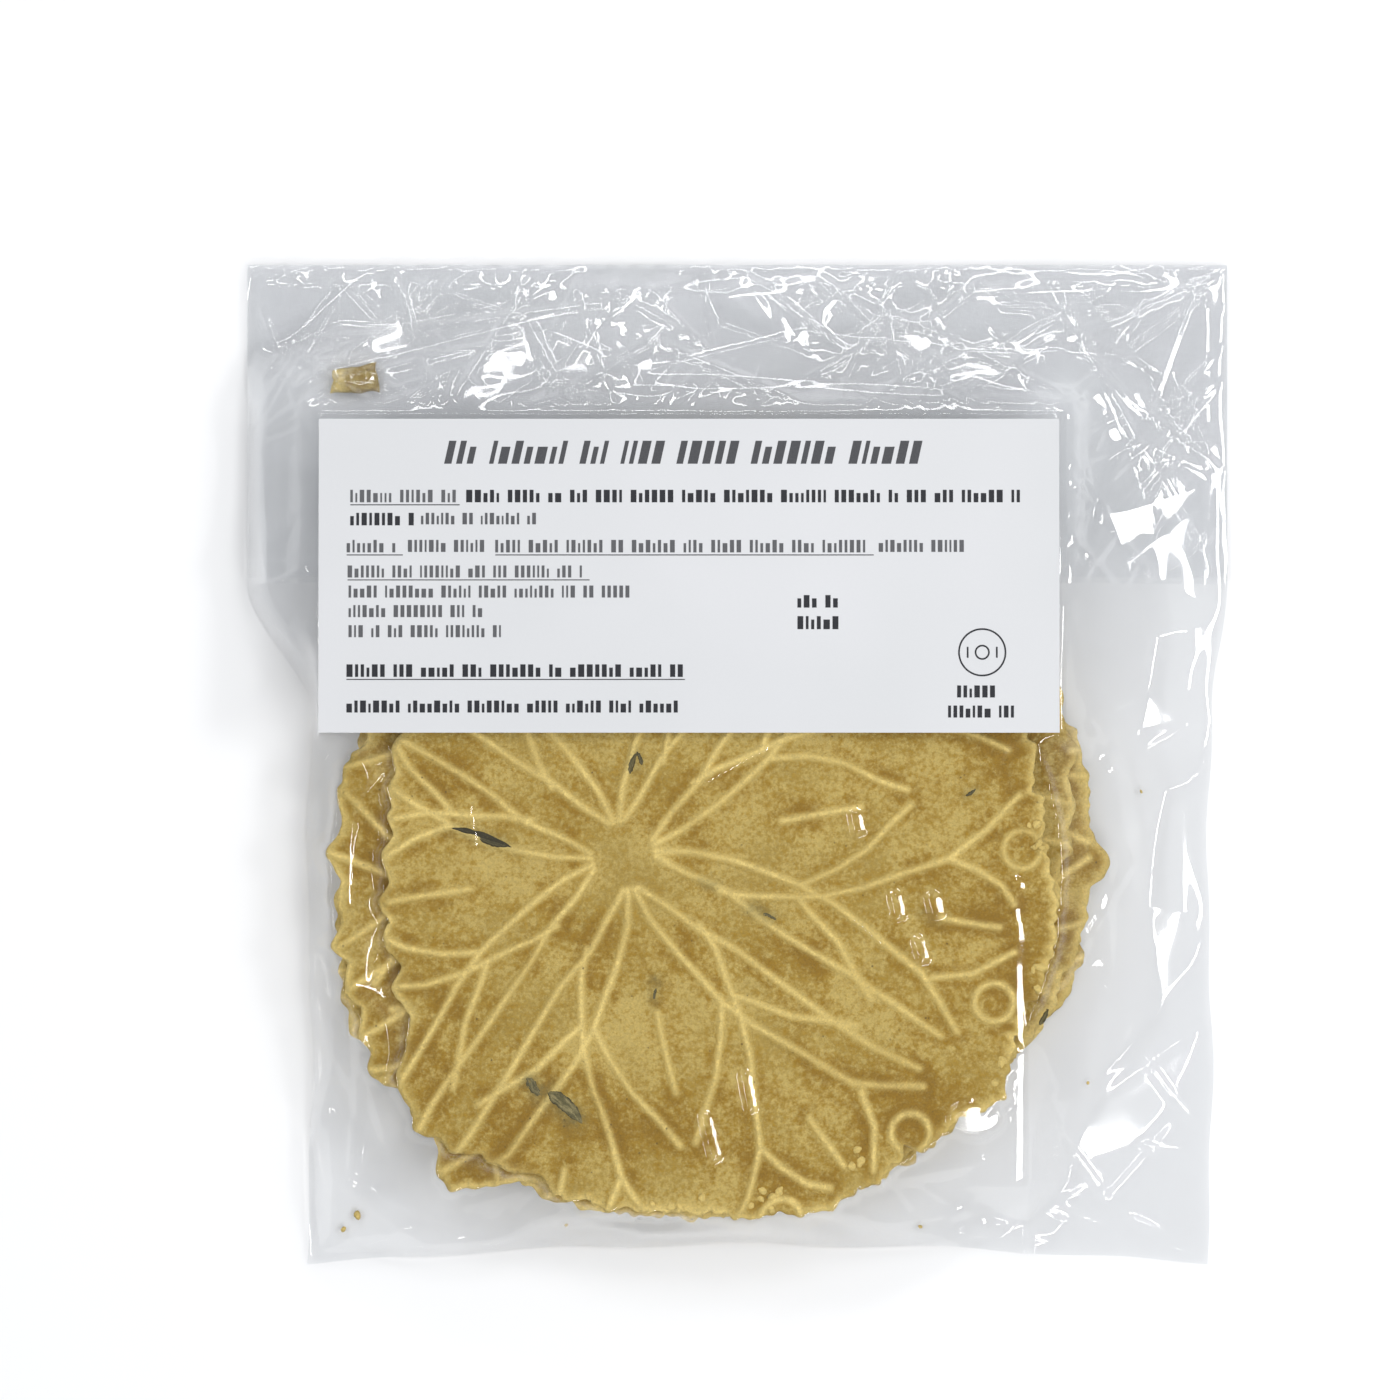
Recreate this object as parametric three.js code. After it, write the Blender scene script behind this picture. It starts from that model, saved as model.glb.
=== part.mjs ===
// A sealed clear bag of pizzelle wafers, lying flat with its paper label up.
// Millimetres. +Z is up, +Y runs from the closed bottom hem to the folded mouth, +X is across the bag.
// The origin is on the surface that the bag lies on, below the middle of its outline.
//
// The bag is one solid out to the film: it stands 20 mm high over a stack of six wafers, its mouth is
// folded forward over the front as a double flap, and the label holds that flap down.
// The label is a sheet of paper on top of the film.

import * as THREE from "three";
import { mergeVertices } from "three/addons/utils/BufferGeometryUtils.js";

// Driving dimensions of the bag's outline
const BAG_LENGTH = 201; // bottom hem to mouth fold
const MOUTH_HALF_WIDTH = 98.5; // the flattened mouth, where the film lies at its full width
const BODY_LEFT = -86; // left side of the body, drawn in by the stack
const BODY_RIGHT = 95; // right side of the body
const FLARE_LENGTH = 26; // length over which the body widens to the mouth
const HEM_WIDTH = 3; // flat welded strip along the bottom
const HEM_BOW = 4; // how far the hem's middle is pulled up between its corners

// Driving dimensions of the contents under the film
const WAFER_COUNT = 6;
const WAFER_PITCH = 3.15; // height that each wafer adds to the stack
const STACK_X = -4; // middle of the stack
const STACK_Y = -22.5;
const STACK_HALF_WIDTH = 76; // the wafers lie spread to the left and right
const STACK_HALF_LENGTH = 67;

// Driving dimensions of the flap and the label
const FLAP_LENGTH = 63; // from the fold at the mouth forward to the cut edge
const FLAP_THICKNESS = 0.8; // two layers of film and the air between them
const FLAP_EDGE_RUN = 1.2; // the ledge at the cut edge
const LABEL_WIDTH = 147.6;
const LABEL_LENGTH = 62.6;
const LABEL_X = -9.7; // middle of the label
const LABEL_Y = 37.8;
const LABEL_THICKNESS = 0.25;
const LABEL_DROP = 3.5; // the label's far edge lies this much lower than its near edge
const LABEL_GAP = 0.35; // clear space between the label and the film

// Film at the outline and below the stack
const EDGE_LIFT = 0.9; // the film's margin stands this far off the surface
const EDGE_THICKNESS = 1.0;
const FOOT_SHARE = 0.8; // share of the stack's size that rests on the surface
const SLOPE_POWER = 1.25; // how hollow the film's slope is between the stack and the outline

// Mesh density
const BAG_COLUMNS = 36;
const BODY_ROWS = 25;
const FLAP_ROWS = 12;
const LABEL_COLUMNS = 16;
const LABEL_ROWS = 8;

// Worked out from the driving dimensions
const BAG_BOTTOM = -BAG_LENGTH / 2;
const BAG_TOP = BAG_LENGTH / 2;
const FLAP_EDGE = BAG_TOP - FLAP_LENGTH;
const STACK_HEIGHT = WAFER_COUNT * WAFER_PITCH + 0.6;
const LABEL_NEAR = LABEL_Y - LABEL_LENGTH / 2;

const clamp01 = (t) => Math.min(1, Math.max(0, t));
const smooth = (t) => clamp01(t) ** 2 * (3 - 2 * clamp01(t));
const mix = (a, b, t) => a + (b - a) * t;

/** Left and right ends of the bag at length y: drawn in along the body, at full width along the mouth. */
function sidesAt(y) {
  const flare = smooth((y - (FLAP_EDGE - FLARE_LENGTH)) / FLARE_LENGTH);
  return [mix(BODY_LEFT, -MOUTH_HALF_WIDTH, flare), mix(BODY_RIGHT, MOUTH_HALF_WIDTH, flare)];
}

/** How far the bottom hem is pulled up at position x, nothing at its corners. */
function hemPull(x) {
  const fromMiddle = (x - (BODY_LEFT + BODY_RIGHT) / 2) / ((BODY_RIGHT - BODY_LEFT) / 2);
  return HEM_BOW * (1 - Math.min(1, fromMiddle ** 2));
}

/** Distance in from the bag's outline, counted from the weld along the bottom. */
function distanceToOutline(x, y) {
  const [left, right] = sidesAt(y);
  const fromHem = y - (BAG_BOTTOM + hemPull(x) + HEM_WIDTH);
  return Math.max(0, Math.min(x - left, right - x, fromHem, BAG_TOP - y));
}

/** Distance outside the stack of wafers, measured on its scaled ellipse. */
function distanceToStack(x, y, share = 1) {
  const reach = Math.hypot((x - STACK_X) / STACK_HALF_WIDTH, (y - STACK_Y) / STACK_HALF_LENGTH);
  return Math.max(0, reach - share) * STACK_HALF_LENGTH;
}

/** Distance outside the label's rectangle. */
function distanceToLabel(x, y) {
  const dx = Math.max(0, Math.abs(x - LABEL_X) - LABEL_WIDTH / 2);
  const dy = Math.max(0, Math.abs(y - LABEL_Y) - LABEL_LENGTH / 2);
  return Math.hypot(dx, dy);
}

/** Underside of the label: level over the stack, then bending down towards the mouth. */
function labelUnderside(y) {
  const along = clamp01((y - LABEL_NEAR) / LABEL_LENGTH);
  return STACK_HEIGHT + FLAP_THICKNESS + LABEL_GAP - LABEL_DROP * along ** 2;
}

/** Underside of the bag: flat where the stack rests, lifting a little towards the outline. */
function bagUnderside(x, y) {
  const outside = distanceToStack(x, y, FOOT_SHARE);
  const inside = distanceToOutline(x, y);
  return outside === 0 ? 0 : EDGE_LIFT * (outside / (outside + inside)) ** 2;
}

/** Top of the bag: level over the stack and under the label, sloping like a tent to the outline. */
function bagTop(x, y) {
  const flap = FLAP_THICKNESS * smooth((y - FLAP_EDGE) / FLAP_EDGE_RUN);
  const outside = Math.min(distanceToStack(x, y), distanceToLabel(x, y));
  const inside = distanceToOutline(x, y);
  const slope = outside === 0 ? 1 : (inside / (outside + inside)) ** SLOPE_POWER;
  const film = labelUnderside(y) - LABEL_GAP - FLAP_THICKNESS + flap;
  return mix(bagUnderside(x, y) + EDGE_THICKNESS, film, slope);
}

/** Evenly spaced values from a to b, both ends included. */
const spaced = (a, b, steps) => Array.from({ length: steps + 1 }, (_, i) => mix(a, b, i / steps));

/**
 * A closed sheet over a grid of rows and columns: place(u, v) gives [x, y], and top and underside give
 * the two faces' heights there. Walls join the faces all round.
 */
function sheetSolid(columns, rows, place, top, underside) {
  const positions = [];
  const index = [];
  const perRow = columns.length;
  const perFace = perRow * rows.length;
  for (const height of [top, underside]) {
    for (const v of rows) {
      for (const u of columns) {
        const [x, y] = place(u, v);
        positions.push(x, y, height(x, y));
      }
    }
  }
  const quad = (a, b, c, d) => index.push(a, b, c, a, c, d);
  for (let r = 0; r + 1 < rows.length; r++) {
    for (let c = 0; c + 1 < perRow; c++) {
      const a = r * perRow + c;
      quad(a, a + 1, a + 1 + perRow, a + perRow);
      quad(a + perFace, a + perRow + perFace, a + 1 + perRow + perFace, a + 1 + perFace);
    }
  }
  const wall = (a, b) => quad(a, a + perFace, b + perFace, b);
  for (let c = 0; c + 1 < perRow; c++) {
    const far = perFace - perRow + c;
    wall(c, c + 1);
    wall(far + 1, far);
  }
  for (let r = 0; r + 1 < rows.length; r++) {
    const a = r * perRow;
    wall(a + perRow, a);
    wall(a + perRow - 1, a + 2 * perRow - 1);
  }
  const geometry = new THREE.BufferGeometry();
  geometry.setAttribute("position", new THREE.Float32BufferAttribute(positions, 3));
  geometry.setIndex(index);
  return mergeVertices(geometry);
}

/** The bag, with rows that follow the flap's cut edge. */
function makeBag() {
  const columns = spaced(0, 1, BAG_COLUMNS);
  const rows = [
    ...spaced(BAG_BOTTOM, FLAP_EDGE, BODY_ROWS),
    ...spaced(FLAP_EDGE + FLAP_EDGE_RUN, BAG_TOP, FLAP_ROWS),
  ];
  const place = (u, row) => {
    const [left, right] = sidesAt(row);
    const x = mix(left, right, u);
    const pulled = (BAG_TOP - row) / BAG_LENGTH;
    return [x, row + hemPull(x) * pulled ** 3];
  };
  const film = new THREE.MeshStandardMaterial({
    color: 0xd9dde2,
    roughness: 0.12,
    metalness: 0,
    transparent: true,
    opacity: 0.35,
  });
  const bag = new THREE.Mesh(sheetSolid(columns, rows, place, bagTop, bagUnderside), film);
  bag.name = "bag";
  return bag;
}

/** The paper label, one sheet bent to the bag below it. */
function makeLabel() {
  const columns = spaced(-LABEL_WIDTH / 2, LABEL_WIDTH / 2, LABEL_COLUMNS);
  const rows = spaced(-LABEL_LENGTH / 2, LABEL_LENGTH / 2, LABEL_ROWS);
  const place = (u, v) => [LABEL_X + u, LABEL_Y + v];
  const underside = (x, y) => labelUnderside(y);
  const top = (x, y) => labelUnderside(y) + LABEL_THICKNESS;
  const paper = new THREE.MeshStandardMaterial({ color: 0xe6e7ea, roughness: 0.7, metalness: 0 });
  const label = new THREE.Mesh(sheetSolid(columns, rows, place, top, underside), paper);
  label.name = "label";
  return label;
}

const pack = new THREE.Group();
pack.add(makeBag(), makeLabel());

export default pack;
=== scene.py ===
import math

import bpy
import numpy as np
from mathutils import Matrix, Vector, geometry


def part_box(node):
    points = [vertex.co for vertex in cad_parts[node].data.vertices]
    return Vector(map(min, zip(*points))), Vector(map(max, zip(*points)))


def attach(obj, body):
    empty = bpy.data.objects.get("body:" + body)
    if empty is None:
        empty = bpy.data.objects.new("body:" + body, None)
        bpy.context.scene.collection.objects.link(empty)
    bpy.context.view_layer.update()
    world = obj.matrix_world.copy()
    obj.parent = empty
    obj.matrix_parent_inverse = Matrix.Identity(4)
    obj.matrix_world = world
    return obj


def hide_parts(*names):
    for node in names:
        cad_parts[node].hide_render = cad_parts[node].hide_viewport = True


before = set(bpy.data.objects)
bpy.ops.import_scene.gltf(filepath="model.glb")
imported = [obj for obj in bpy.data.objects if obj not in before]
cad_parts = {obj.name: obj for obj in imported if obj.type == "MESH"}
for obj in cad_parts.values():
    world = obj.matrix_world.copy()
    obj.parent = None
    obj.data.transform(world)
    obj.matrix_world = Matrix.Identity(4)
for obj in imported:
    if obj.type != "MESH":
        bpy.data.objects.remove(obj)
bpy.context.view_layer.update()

# A sealed clear bag of six rosemary wafers, lying flat with its paper label up.
# Lengths are worked out in millimetres, and become metres where they go into a mesh.
MM = 0.001
bag_low, bag_high = [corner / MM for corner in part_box("bag")]
label_low, label_high = [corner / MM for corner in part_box("label")]


# -------------------- the wafers
# Six thin round wafers of hard-baked dough lie fanned in a stack. Each is pressed between two hot
# iron plates, and the leaves cut into the plates stand up as veins on both of its faces. The dough
# runs out unevenly, a little further along each vein, so every rim is scalloped or ragged.
WAFER_PITCH = 3.15
STACK_FOOT = 0.25  # the film that the lowest wafer lies on, and the air below it
HALF_BODY = 0.95  # half the thickness between the veins
VEIN_HEIGHT = 0.78
LOWER_VEIN_HEIGHT = 0.4
VEIN_HALF_WIDTH = 1.2
RIM_ROUND = 1.5  # how far in from the rim a face starts to curve down
BAKED_WARP = 0.25
SCALLOP, SCALLOP_REACH, SCALLOP_DROP = 2.9, 2.9, 1.2  # the rim's lobes at the ends of the veins
CUTTING_ERROR = 0.45  # how far the plates' leaves are out of true
LOBE_ROUNDING = 14  # passes that round the lobes

# One leaf of the pattern is mirrored about its midrib and repeated four times round the middle.
# Its strokes are given along the midrib and away from it.
MIDRIB = [(31.6, 0), (48, 0)]
LEAF_SIDE = [(6.6, 0.6), (13.4, 2.4), (21, 6), (30, 11.2), (32.6, 12.8), (40, 11.4), (47, 8.8), (53.4, 4.4),
             (58.4, 1.6)]
OUTER_RIB = [(32.6, 12.8), (39, 18.4), (48.8, 29.8), (53.6, 35.2), (55.4, 40.6), (57.2, 48)]
OUTER_FORK = [(55.6, 36.4), (63.2, 37.4), (71.8, 35.2)]
LONG_RIB = [(6.6, 1.6), (11.2, 6), (17.6, 11), (23.2, 17.6), (40, 33.2), (47.2, 40.4), (53.6, 48)]
INNER_BOW = [(16.6, 11.2), (22, 13.2), (27, 14), (36.4, 16), (44.8, 16.4), (54.4, 15), (62.8, 14)]
BOW_FORK_IN = [(62.8, 14), (71.8, 10), (79, 4.6)]
BOW_FORK_OUT = [(62.8, 14), (67.8, 17.4), (72.2, 21.6), (73.8, 25.8)]
SHORT_BOW = [(32, 15.6), (33.6, 18.4), (38.4, 26), (41.2, 35), (42.4, 38)]
SIDE_MIDRIB = [(59.2, 25.2), (70, 29.6)]
LEAF_STROKES = [MIDRIB, LEAF_SIDE, OUTER_RIB, OUTER_FORK, LONG_RIB, INNER_BOW, BOW_FORK_IN, BOW_FORK_OUT,
                SHORT_BOW, SIDE_MIDRIB]
RING_CIRCLE = 79.2  # a row of small rings runs round the leaves
RING_RADIUS = 3.8
RING_TURNS = (math.radians(11.25), math.radians(33.75))


def smooth(t):
    """Rises gently from 0 to 1 as t does."""
    t = np.clip(t, 0.0, 1.0)
    return t * t * (3.0 - 2.0 * t)


def waves(x, y, wavelength, seed, count=12):
    """Seeded unevenness over x and y, mostly between -1 and 1, with humps of about a wavelength."""
    draw = np.random.default_rng(seed)
    total = np.zeros_like(x)
    for _ in range(count):
        turn, phase = draw.uniform(0, 2 * math.pi, 2)
        step = 2 * math.pi / (wavelength * draw.uniform(0.7, 1.4))
        total += np.cos(step * (x * math.cos(turn) + y * math.sin(turn)) + phase)
    return total / math.sqrt(count)


def baked_warp(x, y):
    """How far the wafers are warped up or down, alike in all of them, so that they nest."""
    return BAKED_WARP * waves(x, y, 75, 5)


def rim_waves(angle, seed, fewest, most, count=14):
    """Seeded unevenness round a rim, with between fewest and most humps to a turn."""
    draw = np.random.default_rng(seed)
    total = np.zeros_like(angle)
    for _ in range(count):
        total += np.cos(draw.integers(fewest, most) * angle + draw.uniform(0, 2 * math.pi))
    return total / math.sqrt(count)


def turned(x, y, degrees):
    """The place x, y as it reads on axes turned by some degrees."""
    cosine, sine = math.cos(math.radians(degrees)), math.sin(math.radians(degrees))
    return x * cosine + y * sine, y * cosine - x * sine


def vein_gap(x, y):
    """Distance to the nearest vein, from the middle of the pattern with a leaf along +X."""
    quarter = math.pi / 2
    folded = np.abs((np.arctan2(y, x) + quarter / 2) % quarter - quarter / 2)
    reach = np.hypot(x, y)
    along, across = reach * np.cos(folded), reach * np.sin(folded)
    nearest = np.full(x.shape, 99.0)
    for stroke in LEAF_STROKES:
        for (a0, c0), (a1, c1) in zip(stroke, stroke[1:]):
            run, rise = a1 - a0, c1 - c0
            part = np.clip(((along - a0) * run + (across - c0) * rise) / (run * run + rise * rise), 0, 1)
            nearest = np.minimum(nearest, np.hypot(along - a0 - part * run, across - c0 - part * rise))
    for turn in RING_TURNS:
        out = np.hypot(along - RING_CIRCLE * math.cos(turn), across - RING_CIRCLE * math.sin(turn))
        nearest = np.minimum(nearest, np.abs(out - RING_RADIUS))
    return nearest


class Wafer:
    """One wafer: where it lies, how its pattern is turned, and how far its dough ran out."""

    def __init__(self, name, level, middle, hub, turn, bulges, seed, neat_side, radius):
        self.name, self.middle, self.hub, self.turn = name, middle, hub, turn
        self.seed, self.radius = seed, radius
        self.height = STACK_FOOT + WAFER_PITCH * (level + 0.5)
        self.angles = np.linspace(-math.pi, math.pi, 1441)
        rim = np.full(self.angles.shape, radius) + 0.5 * rim_waves(self.angles, seed, 2, 7)
        for at, out, spread in bulges:
            off = (np.degrees(self.angles) - at + 180) % 360 - 180
            rim += out * np.exp(-((off / spread) ** 2))
        gap = self.gap_to_veins(middle[0] + rim * np.cos(self.angles),
                                middle[1] + rim * np.sin(self.angles))
        calm = 0.5 + 0.5 * np.cos(self.angles - math.radians(neat_side))
        scallop = SCALLOP * np.exp(-((gap / SCALLOP_REACH) ** 2)) - SCALLOP_DROP
        for _ in range(LOBE_ROUNDING):
            scallop[1:-1] = (scallop[:-2] + 2 * scallop[1:-1] + scallop[2:]) / 4
        broken = rim_waves(self.angles, seed + 1, 14, 50) + 0.8 * rim_waves(self.angles, seed + 2, 60, 180)
        chipped = -0.6 * np.abs(rim_waves(self.angles, seed + 11, 18, 60)) ** 3
        rim += scallop * calm ** 1.5 + (broken + chipped) * (0.62 - 0.46 * calm)
        self.rim = rim

    def gap_to_veins(self, x, y):
        """Distance to the nearest vein, on plates that were cut by hand and aren't quite even."""
        x, y = x - self.hub[0], y - self.hub[1]
        x, y = (x + CUTTING_ERROR * waves(x, y, 38, self.seed + 3),
                y + CUTTING_ERROR * waves(x, y, 38, self.seed + 4))
        return vein_gap(*turned(x, y, self.turn))

    def inside(self, x, y):
        """Distance in from the rim, below zero outside the wafer."""
        x, y = x - self.middle[0], y - self.middle[1]
        return np.interp(np.arctan2(y, x), self.angles, self.rim) - np.hypot(x, y)

    def relief(self, x, y):
        """How far the veins stand up, from 0 to 1. Some were filled better than others."""
        foot = np.clip(self.gap_to_veins(x, y) / VEIN_HALF_WIDTH, 0, 1)
        return (1 - foot * foot) ** 2 * np.clip(0.86 + 0.2 * waves(x, y, 30, self.seed + 5), 0.35, 1)

    def face(self, x, y, side):
        """Height of the upper face (side 1) or the lower one (side -1)."""
        crown = smooth(self.inside(x, y) / RIM_ROUND)
        rough = 0.035 * waves(x, y, 1.9, self.seed + 6) + 0.05 * waves(x, y, 7, self.seed + 7)
        crumbly = 0.22 * np.abs(waves(x, y, 2.1, self.seed + 8)) * (1 - smooth(self.inside(x, y) / 3.5))
        vein_height = VEIN_HEIGHT if side > 0 else LOWER_VEIN_HEIGHT
        thick = HALF_BODY * (0.42 + 0.58 * crown) + vein_height * self.relief(x, y) * crown + rough + crumbly
        return self.height + baked_warp(x, y) + side * thick


# Each wafer: its level, middle, the pattern's middle and turn, the rim's bulges (degrees, out, spread),
# seed, the side where the rim is neatly scalloped and not ragged, and radius.
WAFERS = [
    Wafer("wafer_lowest", 0, (2.0, -24.0), (-1, -25), 64,
          [(345, 2, 9), (318, -3.5, 14), (262, -2.5, 25)], 610, 60, 66.6),
    Wafer("wafer_fifth", 1, (4.2, -20.0), (12, -22), 5,
          [(0, 3.2, 3.4), (22, 1.6, 7), (316, -3, 14)], 430, 90, 66.8),
    Wafer("wafer_fourth", 2, (0.8, -4.5), (4, -9), 34, [(8, 1.2, 6), (270, -3, 30)], 520, 60, 66.2),
    Wafer("wafer_third", 3, (-13.6, -27.0), (-9, -33), 48,
          [(203, 1.9, 12), (148, 3, 8), (262, -3, 26)], 340, 175, 66.0),
    Wafer("wafer_second", 4, (-14.6, -23.2), (-22, -16), 77,
          [(140, 1.2, 9), (213, 2, 3.5), (234.5, 7.5, 5.5)], 250, 182, 66.8),
    Wafer("wafer_top", 5, (-2.9, -22.4), (-22.5, -18.0), 12,
          [(219, 10.8, 12.5), (243, 3.2, 9), (157, 2.6, 8), (288, 2.2, 10), (321, 3.4, 6), (334, -1.6, 5),
           (8, -2.2, 8), (172, -0.8, 6)], 160, 182, 67.4),
]
FINE_CELLS = {"wafer_top": 288, "wafer_second": 208, "wafer_lowest": 150}
PLAIN_CELLS = 168
HIDDEN_CELLS = 48
UNDER_INSET = 0.5  # the lower face ends this far inside the upper one
PALE_REACH = 70  # the dough browns more, the further it is from the pattern's middle


def select_only(*pieces):
    """Selects these pieces and nothing else, with the first one active."""
    bpy.ops.object.select_all(action="DESELECT")
    for piece in pieces:
        piece.select_set(True)
    if pieces:
        bpy.context.view_layer.objects.active = pieces[0]


def read_points(piece):
    """The piece's points, a row for each."""
    points = np.empty(3 * len(piece.data.vertices))
    piece.data.vertices.foreach_get("co", points)
    return points.reshape(-1, 3)


def move_points(piece, points):
    """Puts the piece's points at these places in millimetres."""
    piece.data.vertices.foreach_set("co", (points * MM).ravel())
    piece.data.update()


def paint(piece, name, values):
    """Stores a value or a vector at each point of a piece, for its material to read."""
    kind, field = ("FLOAT_VECTOR", "vector") if np.ndim(values) == 2 else ("FLOAT", "value")
    layer = piece.data.attributes.new(name, kind, "POINT")
    layer.data.foreach_set(field, np.asarray(values, np.float32).ravel())


def lay_grid(name, columns, rows, place):
    """A grid of columns by rows, whose points place(a, b) puts where they belong, from -1 to 1."""
    select_only()
    bpy.ops.mesh.primitive_grid_add(x_subdivisions=columns, y_subdivisions=rows, size=2)
    piece = bpy.context.object
    piece.name = name
    piece.data.name = name
    points = read_points(piece)
    move_points(piece, np.column_stack(place(points[:, 0], points[:, 1])))
    return piece


def spread_on_disc(a, b):
    """Spreads the square from -1 to 1 evenly over a round disc."""
    wide = np.abs(a) >= np.abs(b)
    reach, other = np.where(wide, a, b), np.where(wide, b, a)
    eighth = math.pi / 4 * other / np.where(reach == 0, 1, reach)
    turn = np.where(wide, eighth, math.pi / 2 - eighth)
    return reach * np.cos(turn), reach * np.sin(turn)


# Rosemary baked in just under the top wafer's face: middle, length, width, turn and strength.
STAINS = [((-34.6, -68.2), 11, 4.6, -43, 0.9), ((-40.6, -64.2), 6.5, 4.2, -60, 0.8),
          ((-51, -14.4), 15, 3.6, -17, 0.55), ((4.6, -29.3), 7, 3.4, -24, 0.7),
          ((-5.6, -23.6), 5, 2.6, -12, 0.5), ((-16.6, -44.4), 7, 2.8, 82, 0.6),
          ((-20.0, 0.6), 5.5, 3.4, 70, 0.5), ((46.5, -5.4), 4, 2, 35, 0.6),
          ((38.0, -30.5), 7, 2.4, -30, 0.4)]
# Patches of the top wafer that the iron browned more: middle, reach and strength.
BROWNED = [((-41, -79), 11, 0.45), ((-62, -62), 8, 0.25), ((-17, -77), 8, 0.15), ((20, -74), 7, 0.1),
           ((47, -31), 7, 0.15)]


def herb_stain(wafer, x, y):
    """How far baked-in rosemary greens the dough, from 0 to 1."""
    stain = np.zeros_like(x)
    if wafer is not WAFERS[-1]:
        return stain
    for (x0, y0), length, width, turn, strength in STAINS:
        along, across = turned(x - x0, y - y0, turn)
        fade = -((along / (length / 2)) ** 4) - (across / (width / 2)) ** 2
        stain = np.maximum(stain, strength * np.exp(fade))
    return stain


def wafer_face(wafer, cells, side, inset):
    """One face of a wafer, out to its rim, with its vein values and its toast values, which also carry
    painted shade beside the veins.
    """

    def place(a, b):
        x, y = spread_on_disc(a, b)
        reach = np.hypot(x, y)
        rim = np.interp(np.arctan2(y, x), wafer.angles, wafer.rim) - inset
        even = rim.mean()
        reach = even + (rim - even) * reach ** 5
        x, y = wafer.middle[0] + x * reach, wafer.middle[1] + y * reach
        return x, y, wafer.face(x, y, side)

    piece = lay_grid(wafer.name, cells, cells, place)
    points = read_points(piece)
    x, y = points[:, 0] / MM, points[:, 1] / MM
    gap = wafer.gap_to_veins(x, y)
    inside = np.maximum(wafer.inside(x, y), 0)
    vein = (1 - smooth(gap / (1.05 * VEIN_HALF_WIDTH))) * np.clip(0.85 + 0.2 * waves(x, y, 26, 9), 0.35, 1)
    lip = np.exp(-((inside / 1.3) ** 2)) * np.clip(0.75 + 0.4 * waves(x, y, 13, wafer.seed + 12), 0.2, 1)
    vein = np.maximum(vein, lip)
    far = np.hypot(x - wafer.hub[0], y - wafer.hub[1]) / PALE_REACH
    patchy = 0.26 * waves(x, y, 24, wafer.seed + 9) + 0.16 * waves(x, y, 10, wafer.seed + 10)
    near_rim = np.exp(-(((inside - 7) / 7) ** 2))
    # Painted shade: the dough is coloured browner in a band beside each raised vein, where shade would fall.
    painted_shade_beside_vein = np.exp(-((gap - 1.8) / 1.1) ** 2)
    toast = 0.14 + 0.22 * far * far + patchy + 0.20 * near_rim + 0.32 * painted_shade_beside_vein - 0.4 * lip
    if wafer is WAFERS[-1]:
        for (x0, y0), patch, strength in BROWNED:
            toast = toast + strength * np.exp(-((x - x0) ** 2 + (y - y0) ** 2) / patch ** 2)
    paint(piece, "vein", vein)
    paint(piece, "toast", np.clip(toast, 0, 1.2))
    paint(piece, "herb", herb_stain(wafer, x, y))
    return piece


def close_faces(upper, lower):
    """Joins two faces into one closed body by bridging their rims."""
    select_only(upper, lower)
    bpy.ops.object.join()
    bpy.ops.object.mode_set(mode="EDIT")
    bpy.ops.mesh.select_mode(type="EDGE")
    bpy.ops.mesh.select_all(action="DESELECT")
    bpy.ops.mesh.select_non_manifold(extend=False, use_wire=False, use_multi_face=False,
                                     use_non_contiguous=False, use_verts=False)
    bpy.ops.mesh.bridge_edge_loops()
    bpy.ops.mesh.select_all(action="SELECT")
    bpy.ops.mesh.normals_make_consistent(inside=False)
    bpy.ops.object.mode_set(mode="OBJECT")
    bpy.ops.object.shade_smooth()
    return upper


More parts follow.
